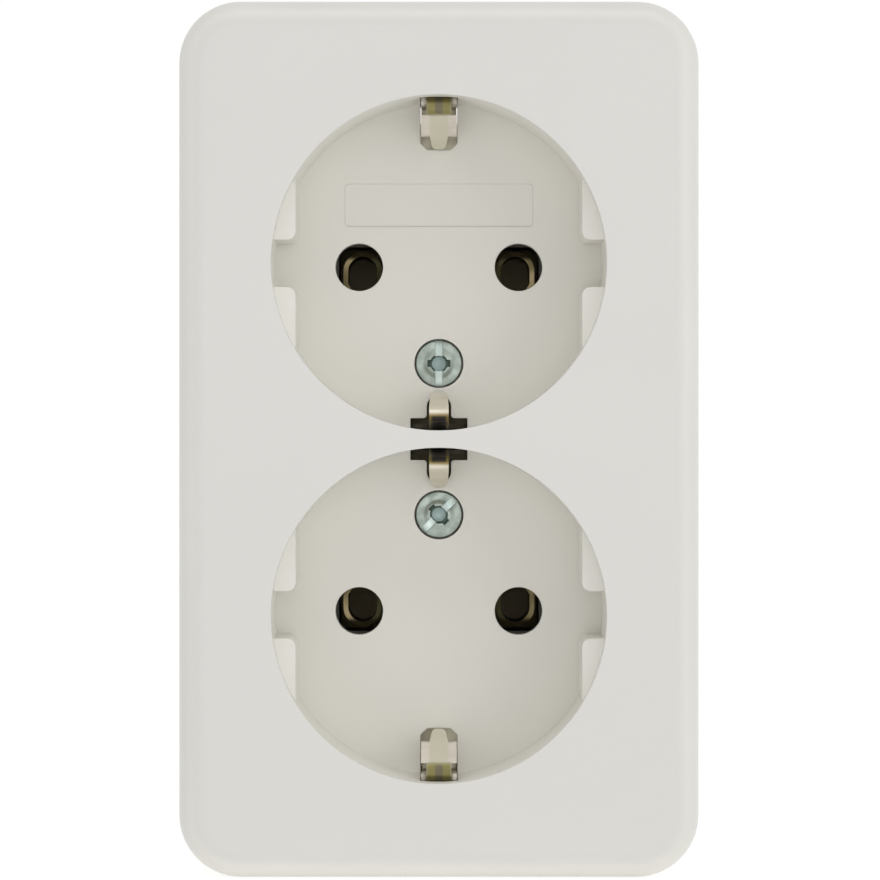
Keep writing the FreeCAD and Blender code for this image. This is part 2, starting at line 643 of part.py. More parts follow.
def earth_centre_clip():
    """U-shaped clip with one finger for each well."""
    upper = clip_half()
    clip = upper.fuse(mirrored(upper, UP))
    base_front = STRAP_FRONT_Y - CLIP_THICKNESS
    return clip.cut(rod(0, 0, STRAP_FRONT_Y, base_front, RIVET_RADIUS + RUNNING_CLEARANCE)).removeSplitter()


def earth_rivet():
    """Rivet through clip, strap and carrier web."""
    head_back = STRAP_FRONT_Y - CLIP_THICKNESS
    web_back = STRAP_BACK_Y + RIVET_WEB
    head = rod(0, 0, head_back, head_back - RIVET_HEAD_HEIGHT, RIVET_HEAD_RADIUS)
    shank = rod(0, 0, web_back, head_back, RIVET_RADIUS)
    tail = rod(0, 0, web_back + RIVET_TAIL_HEIGHT, web_back, RIVET_TAIL_RADIUS)
    return head.multiFuse([shank, tail]).removeSplitter()


# Fasteners

def slotted_screw(place, seat_y, head, shank, slot_angle):
    """Screw whose head has a straight slot; head is its radius and height, shank its radius and end."""
    x, z = place
    front_y = seat_y - head[1]
    screw = rod(x, z, seat_y, front_y, head[0]).fuse(rod(x, z, shank[1], seat_y, shank[0]))
    half = SCREW_SLOT_WIDTH / 2
    slot = block((-head[0], head[0]), (front_y, front_y + SCREW_SLOT_DEPTH), (-half, half))
    slot.rotate(Vector(0, 0, 0), -INTO_WALL, slot_angle)
    slot.translate(Vector(x, 0, z))
    return screw.cut(slot).removeSplitter()


def cover_screw(side, slot_angle):
    """Screw in a well that holds the cover."""
    head = (COVER_HEAD_RADIUS, COVER_HEAD_HEIGHT)
    shank = (SCREW_RADIUS, HEAD_SEAT_Y + COVER_SCREW_LENGTH)
    return slotted_screw((0, side * COVER_SCREW_Z), HEAD_SEAT_Y, head, shank, slot_angle)


def cover_nut(side):
    """Square nut behind the strap."""
    z = side * COVER_SCREW_Z
    half = NUT_WIDTH / 2
    nut = block((-half, half), (NUT_BACK_Y, STRAP_BACK_Y), (z - half, z + half))
    return nut.cut(rod(0, z, NUT_BACK_Y, STRAP_BACK_Y, SCREW_RADIUS + RUNNING_CLEARANCE))


def terminal_screw(name):
    """Captive screw that lifts the cage of a terminal."""
    x, z, _, bar = TERMINALS[name]
    head = (TERMINAL_HEAD_RADIUS, TERMINAL_HEAD_HEIGHT)
    shank = (SCREW_RADIUS, RAIL_BACK_Y - bar - TERMINAL_TIP_GAP)
    return slotted_screw((x, z), SHELF_FRONT_Y - TERMINAL_HEAD_GAP, head, shank, 0.0)


def terminal_clamp(name):
    """Cage that a terminal screw pulls up against its bar."""
    x, z, _, _ = TERMINALS[name]
    x_range = (x - CLAMP_LENGTH / 2, x + CLAMP_LENGTH / 2)
    cage = block(x_range, (CLAMP_BACK_Y, CLAMP_FRONT_Y), (z - CLAMP_HALF_Z, z + CLAMP_HALF_Z))
    window_z = (z - CLAMP_WINDOW_HALF, z + CLAMP_WINDOW_HALF)
    window = block(x_range, (CLAMP_FLOOR_FRONT_Y, CLAMP_TOP_BACK_Y), window_z)
    thread = rod(x, z, CLAMP_TOP_BACK_Y, CLAMP_FRONT_Y, SCREW_RADIUS + RUNNING_CLEARANCE)
    return cage.cut([window, thread])


def carrier_screw(side):
    """Screw that fixes a lug of the carrier to its pillar."""
    head = (CARRIER_HEAD_RADIUS, CARRIER_HEAD_HEIGHT)
    shank = (CARRIER_SCREW_RADIUS, -CARRIER_SCREW_END)
    return slotted_screw((-side * LUG_X, side * LUG_Z), LUG_FRONT_Y, head, shank, 0.0)


# Contact carrier

def turret(name):
    """Walls of a terminal, standing on the base."""
    x, z, side, _ = TERMINALS[name]
    x_range = (x - side * TURRET_INSET, x + side * TURRET_OUTSET)
    z_range = (z - TURRET_HALF_Z, z + TURRET_HALF_Z)
    return block(x_range, (CARRIER_BACK_Y, SHELF_FRONT_Y), z_range)


def turret_hollows(name):
    """Chamber of the cage, bar slot and screw hole of a terminal."""
    x, z, side, _ = TERMINALS[name]
    chamber_x = (x - side * CHAMBER_INSET, x + side * (TURRET_OUTSET + TERMINAL_WALL))
    chamber_z = (z - CHAMBER_HALF_Z, z + CHAMBER_HALF_Z)
    chamber = block(chamber_x, (CHAMBER_BACK_Y, SHELF_BACK_Y), chamber_z)
    slot_x = (x - side * (TURRET_INSET + CARRIER_SIDE_WALL), x - side * CHAMBER_INSET)
    slot_z = (z - CLAMP_WINDOW_HALF, z + CLAMP_WINDOW_HALF)
    slot = block(slot_x, (RAIL_BACK_Y, CARRIER_FRONT_Y), slot_z)
    return [chamber, slot, rod(x, z, SHELF_BACK_Y, SHELF_FRONT_Y, SCREW_RADIUS + RUNNING_CLEARANCE)]


def lug(side):
    """Fixing lug on an end of the carrier."""
    x = -side * LUG_X
    z_range = (side * (CARRIER_HALF_Z - CARRIER_JOIN), side * (LUG_Z + LUG_HALF_WIDTH))
    return block((x - LUG_HALF_WIDTH, x + LUG_HALF_WIDTH), (LUG_BACK_Y, LUG_FRONT_Y), z_range)


def rail_pocket(side):
    """Pocket of a rail with the deeper wells for the pin tips."""
    x_range = (side * POCKET_INNER_X, side * POCKET_OUTER_X)
    pocket = block(x_range, (RAIL_BACK_Y, CARRIER_FRONT_Y), (-POCKET_HALF_Z, POCKET_HALF_Z))
    pin_end_y = FLOOR_Y + PIN_LENGTH + PIN_WELL_CLEARANCE
    half = PIN_WELL_WIDTH / 2
    well_x = (side * PIN_X - half, side * PIN_X + half)
    wells = [block(well_x, (pin_end_y, RAIL_BACK_Y), (z - half, z + half)) for z in (WELL_Z, -WELL_Z)]
    return [pocket] + wells


def contact_carrier():
    """Dark inner moulding that holds every live and earth part."""
    ends = (-CARRIER_HALF_Z, CARRIER_HALF_Z)
    body = block((-CARRIER_HALF_X, CARRIER_HALF_X), (CARRIER_BACK_Y, CARRIER_FRONT_Y), ends)
    earth_link_z = (EARTH_TERMINAL_Z, -(CARRIER_HALF_Z - CARRIER_JOIN))
    earth_link_x = (EARTH_TERMINAL_X - CHAMBER_INSET, EARTH_TERMINAL_X + TURRET_INSET)
    link = block(earth_link_x, (CARRIER_BACK_Y, SHELF_FRONT_Y), earth_link_z)
    body = body.multiFuse([turret(name) for name in TERMINALS] + [link, lug(1), lug(-1)])
    groove_half = STRAP_WIDTH / 2 + STRAP_GROOVE_CLEARANCE
    removed = [block((-groove_half, groove_half), (STRAP_BACK_Y, CARRIER_FRONT_Y), ends)]
    for name in TERMINALS:
        removed.extend(turret_hollows(name))
    nut_half = NUT_WIDTH / 2 + NUT_CLEARANCE
    tip_y = HEAD_SEAT_Y + COVER_SCREW_LENGTH + SCREW_TIP_ROOM
    ceiling_y = RAIL_BACK_Y + REAR_POCKET_CEILING
    for side in (1, -1):
        removed.extend(rail_pocket(side))
        nut_z = (side * COVER_SCREW_Z - nut_half, side * COVER_SCREW_Z + nut_half)
        removed.append(block((-nut_half, nut_half), (NUT_BACK_Y, STRAP_BACK_Y), nut_z))
        tip_half = SCREW_RADIUS + SCREW_CLEARANCE
        tip_z = (side * COVER_SCREW_Z - tip_half, side * COVER_SCREW_Z + tip_half)
        removed.append(block((-tip_half, tip_half), (tip_y, NUT_BACK_Y), tip_z))
        pocket_half_x = CARRIER_HALF_X - REAR_POCKET_WALL
        pocket_z = (side * REAR_POCKET_START, side * REAR_POCKET_END)
        removed.append(block((-pocket_half_x, pocket_half_x), (CARRIER_BACK_Y, ceiling_y), pocket_z))
        lug_hole = CARRIER_SCREW_RADIUS + RUNNING_CLEARANCE
        removed.append(rod(-side * LUG_X, side * LUG_Z, LUG_BACK_Y, LUG_FRONT_Y, lug_hole))
    web_back = STRAP_BACK_Y + RIVET_WEB
    removed.append(rod(0, 0, web_back, STRAP_BACK_Y, RIVET_RADIUS + RUNNING_CLEARANCE))
    cavity = (-RIVET_CAVITY_WIDTH / 2, RIVET_CAVITY_WIDTH / 2)
    removed.append(block(cavity, (CARRIER_BACK_Y, web_back), cavity))
    return body.cut(removed).removeSplitter()


# Rear base

def obround(x, z, length, width, y_back, y_front):
    """Solid with a long round-ended section, lying across."""
    return slab(length / 2, width / 2, width / 2 - OBROUND_FLAT, y_back, y_front, (x, z))


def rear_base():
    """Back plate with locating rim, wall slots, cable entry and pillars."""
    half_z = SKIRT_HALF_Z - BASE_CLEARANCE
    corner = SKIRT_CORNER - BASE_CLEARANCE
    rim_front = -(BASE_THICKNESS + BASE_RIM_HEIGHT)
    rim_corner = corner - BASE_RIM_WALL
    base = slab(BASE_HALF_X, half_z, corner, 0, rim_front)
    inner = slab(BASE_HALF_X - BASE_RIM_WALL, half_z - BASE_RIM_WALL, rim_corner, -BASE_THICKNESS, rim_front)
    gap_half = BASE_RIM_GAP / 2
    gap = block((-gap_half, gap_half), (-BASE_THICKNESS, rim_front), (-COVER_HALF_Z, COVER_HALF_Z))
    base = base.cut([inner, gap])
    added = []
    removed = []
    for side_x in (1, -1):
        for side_z in (1, -1):
            x = side_x * WALL_HOLE_SPACING_X / 2
            z = side_z * WALL_HOLE_SPACING_Z / 2
            removed.append(obround(x, z, WALL_SLOT_LENGTH, WALL_SLOT_WIDTH, 0, -BASE_THICKNESS))
            added.append(locating_rib(side_x, side_z))
    for side in (1, -1):
        pillar_x = -side * LUG_X
        pillar_z = side * LUG_Z
        x_range = (pillar_x - PILLAR_HALF_WIDTH, pillar_x + PILLAR_HALF_WIDTH)
        z_range = (pillar_z - PILLAR_HALF_WIDTH, pillar_z + PILLAR_HALF_WIDTH)
        added.append(block(x_range, (-BASE_THICKNESS / 2, LUG_BACK_Y), z_range))
        pilot_back = -(CARRIER_SCREW_END - PILLAR_ROOM)
        pilot_radius = CARRIER_SCREW_RADIUS + RUNNING_CLEARANCE
        removed.append(rod(pillar_x, pillar_z, pilot_back, LUG_BACK_Y, pilot_radius))
    entry = (CABLE_ENTRY_WIDTH, CABLE_ENTRY_HEIGHT)
    removed.append(obround(0, CABLE_ENTRY_Z, entry[0], entry[1], 0, -BASE_THICKNESS))
    return base.multiFuse(added).cut(removed).removeSplitter()


def locating_rib(side_x, side_z):
    """Low rib that centres the carrier on the base."""
    near_x = CARRIER_HALF_X + LOCATING_RIB_GAP
    x_range = (side_x * near_x, side_x * (near_x + LOCATING_RIB))
    y_range = (-BASE_THICKNESS / 2, -(BASE_THICKNESS + LOCATING_RIB_HEIGHT))
    middle = side_z * LOCATING_RIB_Z
    z_range = (middle - LOCATING_RIB_LENGTH / 2, middle + LOCATING_RIB_LENGTH / 2)
    return block(x_range, y_range, z_range)


def all_parts():
    """Every piece by its name."""
    parts = {
        "front_cover": front_cover(),
        "rear_base": rear_base(),
        "contact_carrier": contact_carrier(),
        "line_rail": pole_rail(1),
        "neutral_rail": pole_rail(-1),
        "earth_strap": earth_strap(),
        "earth_centre_clip": earth_centre_clip(),
        "earth_rivet": earth_rivet(),
        "cover_screw_upper": cover_screw(1, UPPER_SLOT_ANGLE),
        "cover_screw_lower": cover_screw(-1, LOWER_SLOT_ANGLE),
        "cover_nut_upper": cover_nut(1),
        "cover_nut_lower": cover_nut(-1),
        "carrier_screw_upper": carrier_screw(1),
        "carrier_screw_lower": carrier_screw(-1),
    }
    for name in TERMINALS:
        parts[name + "_screw"] = terminal_screw(name)
        parts[name + "_clamp"] = terminal_clamp(name)
    return parts


os.makedirs("parts", exist_ok=True)
for part_name, part_shape in all_parts().items():
    print(part_name, len(part_shape.Solids), round(part_shape.Volume, 2), part_shape.isValid())
    part_shape.exportStep("parts/" + part_name + ".step")
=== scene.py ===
"""Looks of the surface double socket: its finishes, and its screws in full detail."""

import logging
import math
from dataclasses import dataclass, field
from enum import Enum
from typing import Callable, Iterable, Mapping, Sequence

import bmesh
import bpy
from mathutils import Matrix, Vector


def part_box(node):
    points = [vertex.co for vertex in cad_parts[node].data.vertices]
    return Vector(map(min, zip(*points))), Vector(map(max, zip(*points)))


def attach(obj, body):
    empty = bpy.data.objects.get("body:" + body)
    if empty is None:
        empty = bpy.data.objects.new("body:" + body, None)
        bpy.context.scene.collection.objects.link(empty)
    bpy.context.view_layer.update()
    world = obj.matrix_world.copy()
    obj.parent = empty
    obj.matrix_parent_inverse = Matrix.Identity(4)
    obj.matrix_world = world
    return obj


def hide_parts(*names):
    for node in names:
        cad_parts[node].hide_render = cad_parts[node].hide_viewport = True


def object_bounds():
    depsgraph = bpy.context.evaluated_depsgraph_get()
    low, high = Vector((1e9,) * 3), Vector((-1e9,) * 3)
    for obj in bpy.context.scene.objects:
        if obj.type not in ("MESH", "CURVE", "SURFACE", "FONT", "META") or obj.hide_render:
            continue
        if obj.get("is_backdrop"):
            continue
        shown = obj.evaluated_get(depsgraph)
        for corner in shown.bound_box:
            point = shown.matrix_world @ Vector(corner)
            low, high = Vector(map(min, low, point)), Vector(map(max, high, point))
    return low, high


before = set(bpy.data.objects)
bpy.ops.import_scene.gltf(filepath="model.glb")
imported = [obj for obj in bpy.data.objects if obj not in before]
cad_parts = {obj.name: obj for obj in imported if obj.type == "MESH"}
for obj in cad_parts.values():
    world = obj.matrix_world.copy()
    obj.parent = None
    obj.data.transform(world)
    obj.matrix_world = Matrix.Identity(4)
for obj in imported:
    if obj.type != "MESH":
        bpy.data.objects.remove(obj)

MM = 0.001
HOUSING = "housing"

Colour = tuple[float, float, float]
ProfilePoint = tuple[float, float]
Socket = bpy.types.NodeSocket

WHITE: Colour = (1.0, 1.0, 1.0)

# Curve of display colours
DISPLAY_FULL = 255
DISPLAY_STRAIGHT_END = 0.04045
DISPLAY_STRAIGHT_SLOPE = 12.92
DISPLAY_OFFSET = 0.055
DISPLAY_POWER = 2.4

# Kinds of group sockets, and places of the sockets on a colour mix node
VALUE = "NodeSocketFloat"
VECTOR = "NodeSocketVector"
MIX_SHARE, MIX_FIRST, MIX_SECOND = 0, 6, 7
MIX_RESULT = 2

# Rounds that a material draws, and the share of a narrow tint's half width that it fades over
ROUND_SAMPLES = 6
TINT_FADE = 0.2

# Meshes of the screws: smallest radius in millimetres that is off the axis, and angles in degrees
AXIS_RADIUS = 1e-6
CARVE_ANGLE = 35
CARVE_SEGMENTS = 2
SMOOTH_ANGLE = 32

log = logging.getLogger("socket")


def linear_part(value: int) -> float:
    """Turn one part of a display colour into a linear one.

    Args:
        value: The part, from 0 to 255.

    Returns:
        The linear part, from 0 to 1.
    """
    share = value / DISPLAY_FULL
    if share <= DISPLAY_STRAIGHT_END:
        return share / DISPLAY_STRAIGHT_SLOPE
    return ((share + DISPLAY_OFFSET) / (1 + DISPLAY_OFFSET)) ** DISPLAY_POWER


def linear(red: int, green: int, blue: int) -> Colour:
    """Turn a display colour, of parts from 0 to 255, into a linear one."""
    return linear_part(red), linear_part(green), linear_part(blue)


def shaded(colour: Colour, factor: float = 1.0) -> tuple[float, float, float, float]:
    """Scale a linear colour and add full opacity.

    Args:
        colour: Linear colour.
        factor: Brightness factor, 1 for no change.

    Returns:
        Four parts for a node's colour socket.
    """
    return tuple(min(part * factor, 1.0) for part in colour) + (1.0,)


class NodeBench:
    """Adds nodes to a shader tree and links them."""

    def __init__(self, tree: bpy.types.NodeTree) -> None:
        """Take the tree of a material, world or group that the nodes go into."""
        self.tree = tree

    def add(self, kind: str, **inputs: object) -> bpy.types.Node:
        """Add a node of Blender's given type and fill its inputs."""
        return self.fill(self.tree.nodes.new(kind), **inputs)

    def fill(self, node: bpy.types.Node, **inputs: object) -> bpy.types.Node:
        """Fill inputs of a node.

        Args:
            node: The node.
            **inputs: Values or sockets by input name, with underscores for spaces.

        Returns:
            The same node.
        """
        for name, value in inputs.items():
            self.feed(node.inputs[name.replace("_", " ")], value)
        return node

    def feed(self, target: Socket, value: object) -> None:
        """Link a socket to an input, or set the input's own value.

        Args:
            target: The input socket.
            value: A socket or a plain value.
        """
        if isinstance(value, bpy.types.NodeSocket):
            self.tree.links.new(value, target)
        else:
            target.default_value = value

    def math(self, operation: str, first: object, second: object = 0.0) -> Socket:
        """Add a math node.

        Args:
            operation: Blender's name of the operation.
            first: First value or socket.
            second: Second value or socket.

        Returns:
            The result's socket.
        """
        node = self.tree.nodes.new("ShaderNodeMath")
        node.operation = operation
        self.feed(node.inputs[0], first)
        self.feed(node.inputs[1], second)
        return node.outputs[0]

    def band(self, value: object, low: float, high: float, out_low: float, out_high: float) -> Socket:
        """Map a range of values smoothly onto another.

        Args:
            value: Value or socket to map.
            low: Start of the range.
            high: End of the range.
            out_low: Result at the start.
            out_high: Result at the end.

        Returns:
            The mapped value's socket.
        """
        node = self.tree.nodes.new("ShaderNodeMapRange")
        node.interpolation_type = "SMOOTHSTEP"
        self.fill(node, Value=value, From_Min=low, From_Max=high, To_Min=out_low, To_Max=out_high)
        return node.outputs["Result"]

    def blend(self, share: object, first: object, second: object) -> Socket:
        """Mix two colours.

        Args:
            share: Share of the second colour.
            first: First colour or socket.
            second: Second colour or socket.

        Returns:
            The mixed colour's socket.
        """
        node = self.tree.nodes.new("ShaderNodeMix")
        node.data_type = "RGBA"
        self.feed(node.inputs[MIX_SHARE], share)
        self.feed(node.inputs[MIX_FIRST], first)
        self.feed(node.inputs[MIX_SECOND], second)
        return node.outputs[MIX_RESULT]

    def place(self, by_piece: bool = False) -> Socket:
        """Point in the socket's frame, in metres, or as shares of the piece's own box."""
        return self.tree.nodes.new("ShaderNodeTexCoord").outputs["Generated" if by_piece else "Object"]


class EffectGroups:
    """Shader groups that more than one finish uses, each built once."""

    GRAIN_DETAIL = 3.0
    FLOW_DETAIL = 2.0
    FLOW_DISTORTION = 0.6
    FLOW_RANGE = (0.3, 0.7)
    LINE_DETAIL = 4.0
    CLOUD_DETAIL = 4.0
    CLOUD_RANGE = (0.35, 0.68)

    def __init__(self) -> None:
        """Start with no group built."""
        self.built: dict[str, bpy.types.NodeTree] = {}

    def use(self, bench: NodeBench, maker: Callable[[bpy.types.NodeTree], None],
            **inputs: object) -> bpy.types.Node:
        """Add a group to a tree, building the group at its first use.

        Args:
            bench: Bench of the tree that the group goes into.
            maker: Method that fills an empty group, which is named after it.
            **inputs: Values or sockets by input name, with underscores for spaces.

        Returns:
            The group's node.
        """
        name = maker.__name__
        if name not in self.built:
            tree = bpy.data.node_groups.new(name, "ShaderNodeTree")
            maker(tree)
            self.built[name] = tree
        node = bench.tree.nodes.new("ShaderNodeGroup")
        node.node_tree = self.built[name]
        return bench.fill(node, **inputs)

    @staticmethod
    def sockets(tree: bpy.types.NodeTree, inputs: Mapping[str, str],
                outputs: Mapping[str, str]) -> tuple[bpy.types.Node, bpy.types.Node]:
        """Give a group its sockets.

        Args:
            tree: The group's node tree.
            inputs: Kind of each input by its name.
            outputs: Kind of each output by its name.

        Returns:
            The group's input and output nodes.
        """
        for way, sockets in (("INPUT", inputs), ("OUTPUT", outputs)):
            for name, kind in sockets.items():
                tree.interface.new_socket(name, in_out=way, socket_type=kind)
        return tree.nodes.new("NodeGroupInput"), tree.nodes.new("NodeGroupOutput")

    def moulding_grain(self, tree: bpy.types.NodeTree) -> None:
        """Fill the group that gives a moulded skin its fine grain and slow flow of shade.

        Args:
            tree: The empty group.
        """
        given, result = self.sockets(
            tree,
            {"Vector": VECTOR, "Grain per Metre": VALUE, "Flow per Metre": VALUE},
            {"Height": VALUE, "Flow": VALUE})
        bench = NodeBench(tree)
        vector, grain_scale, flow_scale = given.outputs[:3]
        grain = bench.add("ShaderNodeTexNoise", Vector=vector, Scale=grain_scale, Detail=self.GRAIN_DETAIL)
        flow = bench.add("ShaderNodeTexNoise", Vector=vector, Scale=flow_scale,
                         Detail=self.FLOW_DETAIL, Distortion=self.FLOW_DISTORTION)
        bench.fill(result, Height=grain.outputs["Fac"],
                   Flow=bench.band(flow.outputs["Fac"], *self.FLOW_RANGE, 0.0, 1.0))

    def drawn_lines(self, tree: bpy.types.NodeTree) -> None:
        """Fill the group that gives a drawn or turned metal its fine lines and cloudy tarnish.

        Args:
            tree: The empty group.
        """
        given, result = self.sockets(
            tree,
            {"Vector": VECTOR, "Stretch": VECTOR, "Cloud per Metre": VALUE},
            {"Height": VALUE, "Cloud": VALUE})
        bench = NodeBench(tree)
        vector, stretch, cloud_scale = given.outputs[:3]
        stretched = tree.nodes.new("ShaderNodeVectorMath")
        stretched.operation = "MULTIPLY"
        bench.feed(stretched.inputs[0], vector)
        bench.feed(stretched.inputs[1], stretch)
        lines = bench.add("ShaderNodeTexNoise", Vector=stretched.outputs[0], Scale=1.0,
                          Detail=self.LINE_DETAIL)
        cloud = bench.add("ShaderNodeTexNoise", Vector=vector, Scale=cloud_scale, Detail=self.CLOUD_DETAIL)
        bench.fill(result, Height=lines.outputs["Fac"],
                   Cloud=bench.band(cloud.outputs["Fac"], *self.CLOUD_RANGE, 0.0, 1.0))


GROUPS = EffectGroups()


def new_material(name: str) -> tuple[bpy.types.Material, NodeBench, bpy.types.Node]:
    """Make a material with an empty tree and its shader.

    Args:
        name: Name of the material.

    Returns:
        The material, the bench for its tree and its shader node.
    """
    material = bpy.data.materials.new(name)
    material.use_nodes = True
    material.node_tree.nodes.clear()
    bench = NodeBench(material.node_tree)
    shader = bench.add("ShaderNodeBsdfPrincipled")
    bench.add("ShaderNodeOutputMaterial", Surface=shader.outputs[0])
    return material, bench, shader


def soft_edges(bench: NodeBench, radius: float, height: Socket, depth: float) -> Socket:
    """Normal with small rounds at sharp edges and a bumpy skin.

    Args:
        bench: Bench of the material's tree.
        radius: Radius of the rounds, in metres.
        height: Height of the skin, from 0 to 1.
        depth: Depth of the bumps, in metres.

    Returns:
        The normal's socket.
    """
    rounds = bench.add("ShaderNodeBevel", Radius=radius)
    rounds.samples = ROUND_SAMPLES
    bump = bench.add("ShaderNodeBump", Strength=1.0, Distance=depth, Height=height, Normal=rounds.outputs[0])
    return bump.outputs[0]


@dataclass(frozen=True)
class Tint:
    """Colour that takes over along one direction.

    It starts at one place and is full at another: distances from the socket's middle when mirrored, and
    shares of the piece's own box when it goes by the piece. A half width keeps it near the middle line.
    """

    axis: str
    start: float
    full: float
    colour: Colour
    mirrored: bool = True
    by_piece: bool = False
    half_width: float = 0.0

    def over(self, bench: NodeBench, base: Socket) -> Socket:
        """Lay the tint over a colour.

        Args:
            bench: Bench of the material's tree.
            base: Colour below.

        Returns:
            The tinted colour.
        """
        place = bench.add("ShaderNodeSeparateXYZ", Vector=bench.place(self.by_piece))
        along = place.outputs[self.axis]
        if self.mirrored:
            along = bench.math("ABSOLUTE", along)
        share = bench.band(along, self.start, self.full, 0.0, 1.0)
        if self.half_width:
            inner, outer = self.half_width * (1 - TINT_FADE), self.half_width * (1 + TINT_FADE)
            inside = bench.band(bench.math("ABSOLUTE", place.outputs["X"]), inner, outer, 1.0, 0.0)
            share = bench.math("MULTIPLY", share, inside)
        return bench.blend(share, base, shaded(self.colour))


def tinted(bench: NodeBench, base: Socket, tints: Iterable[Tint]) -> Socket:
    """Lay tints over a colour, one after the other.

    Args:
        bench: Bench of the material's tree.
        base: Colour below.
        tints: The tints in order.

    Returns:
        The tinted colour.
    """
    for tint in tints:
        base = tint.over(bench, base)
    return base


@dataclass(frozen=True)
class MouldedPlastic:
    """Moulded plastic with a fine skin."""

    name: str
    colour: Colour
    roughness: float
    rough_spread: float = 0.03
    grain_size: float = 0.22 * MM
    grain_depth: float = 0.003 * MM
    flow_size: float = 26 * MM
    flow_spread: float = 0.012
    edge_round: float = 0.15 * MM
    tints: tuple[Tint, ...] = ()

    def build(self) -> bpy.types.Material:
        """Make the material.

        Returns:
            The finished material.
        """
        material, bench, shader = new_material(self.name)
        skin = GROUPS.use(bench, GROUPS.moulding_grain, Vector=bench.place(),
                          Grain_per_Metre=1 / self.grain_size, Flow_per_Metre=1 / self.flow_size)
        flow = skin.outputs["Flow"]
        base = bench.blend(flow, shaded(self.colour, 1 - self.flow_spread),
                           shaded(self.colour, 1 + self.flow_spread))
        rough = bench.band(flow, 0.0, 1.0, self.roughness - self.rough_spread,
                           self.roughness + self.rough_spread)
        normal = soft_edges(bench, self.edge_round, skin.outputs["Height"], self.grain_depth)
        bench.fill(shader, Base_Color=tinted(bench, base, self.tints), Roughness=rough, Normal=normal)
        return material


@dataclass(frozen=True)
class WorkedMetal:
    """Rolled, drawn or turned metal with lines along one direction."""

    name: str
    colour: Colour
    tarnish: Colour
    roughness: float
    tarnish_roughness: float = 0.12
    lines_across: tuple[float, float, float] = (9000.0, 500.0, 500.0)
    line_depth: float = 0.004 * MM
    cloud_size: float = 3.0 * MM
    edge_round: float = 0.08 * MM
    metallic: float = 1.0
    tints: tuple[Tint, ...] = ()

    def build(self) -> bpy.types.Material:
        """Make the material.

        Returns:
            The finished material.
        """
        material, bench, shader = new_material(self.name)
        skin = GROUPS.use(bench, GROUPS.drawn_lines, Vector=bench.place(), Stretch=self.lines_across,
                          Cloud_per_Metre=1 / self.cloud_size)
        cloud = skin.outputs["Cloud"]
        base = bench.blend(cloud, shaded(self.colour), shaded(self.tarnish))
        rough = bench.band(cloud, 0.0, 1.0, self.roughness, self.roughness + self.tarnish_roughness)
        normal = soft_edges(bench, self.edge_round, skin.outputs["Height"], self.line_depth)
        bench.fill(shader, Base_Color=tinted(bench, base, self.tints), Metallic=self.metallic,
                   Roughness=rough, Normal=normal)
        return material


# Painted shade: brass darkened to how it looks deep in shadow, laid on the deep and hidden parts of the strap
# and the clip
BRASS_IN_PAINTED_SHADE = linear(78, 72, 50)
DARK_CARRIER_TONE = linear(42, 36, 27)
COVER_WHITE = MouldedPlastic(
    "cover_moulding", linear(245, 243, 236), roughness=0.34,
    tints=(
        # Painted shade: the flat front face is a little darker than the edge rounds and the wells, so that
        # these look lit more from the sides
        Tint("Y", -40.5 * MM, -41.0 * MM, linear(238, 236, 231), mirrored=False),
    ))
BASE_WHITE = MouldedPlastic(
    "base_moulding", linear(222, 220, 213), roughness=0.5, grain_depth=0.008 * MM)
CARRIER_DARK = MouldedPlastic(
    "carrier_moulding", linear(178, 163, 124), roughness=0.55, grain_depth=0.006 * MM, flow_spread=0.06,
    # Darker towards the front, on the inner and outer sides and past the ends; the lighter colour stays only
    # at the rear of the rail channels
    tints=(
        Tint("Y", -5.0 * MM, -9.0 * MM, DARK_CARRIER_TONE, mirrored=False),
        Tint("X", 6.4 * MM, 6.0 * MM, DARK_CARRIER_TONE),
        Tint("X", 12.8 * MM, 13.4 * MM, DARK_CARRIER_TONE),
        Tint("Z", 24.4 * MM, 25.0 * MM, DARK_CARRIER_TONE),
    ))
RAIL_BRASS = WorkedMetal(
    "rail_brass", linear(147, 133, 101), linear(114, 104, 74), roughness=0.42,
    lines_across=(500.0, 9000.0, 500.0),
    tints=(
        # Painted shade: the inner legs are darker than the outer ones, and the ends of the rails nearly black
        Tint("X", 9.4 * MM, 8.6 * MM, linear(66, 62, 42)),
        Tint("Z", 21.2 * MM, 21.9 * MM, linear(34, 28, 17)),
    ))
RIVET_BRASS = WorkedMetal(
    "rivet_brass", linear(150, 128, 78), linear(120, 100, 60), roughness=0.3)
CONTACT_PLATED = WorkedMetal(
    "contact_plated", linear(250, 243, 234), linear(240, 232, 221), roughness=0.32, metallic=0.5,
    tints=(
        # Painted shade: a slightly darker, yellower stripe down the middle of the outer contacts, for a
        # channel that is not modelled
        Tint("Z", 30.0 * MM, 32.0 * MM, linear(232, 229, 209), half_width=1.1 * MM),
        Tint("Z", 37.7 * MM, 38.1 * MM, linear(132, 124, 76), half_width=1.55 * MM),
        # Painted shade: a narrow dark stripe down the crests, standing for a slot that is not modelled
        Tint("Z", 38.0 * MM, 38.2 * MM, linear(112, 104, 82), half_width=0.45 * MM),
        # Painted shade: the legs beyond the crests, down towards the walls, are dark
        Tint("Z", 39.8 * MM, 40.2 * MM, BRASS_IN_PAINTED_SHADE, half_width=1.55 * MM),
        # Painted shade: a little darker and yellower behind the well floor
        Tint("Y", -24.6 * MM, -22.6 * MM, linear(236, 230, 208), mirrored=False),
        # Painted shade: the middle of the strap, seen through the T-slots, is dark
        Tint("Z", 9.0 * MM, 6.0 * MM, BRASS_IN_PAINTED_SHADE),
    ))
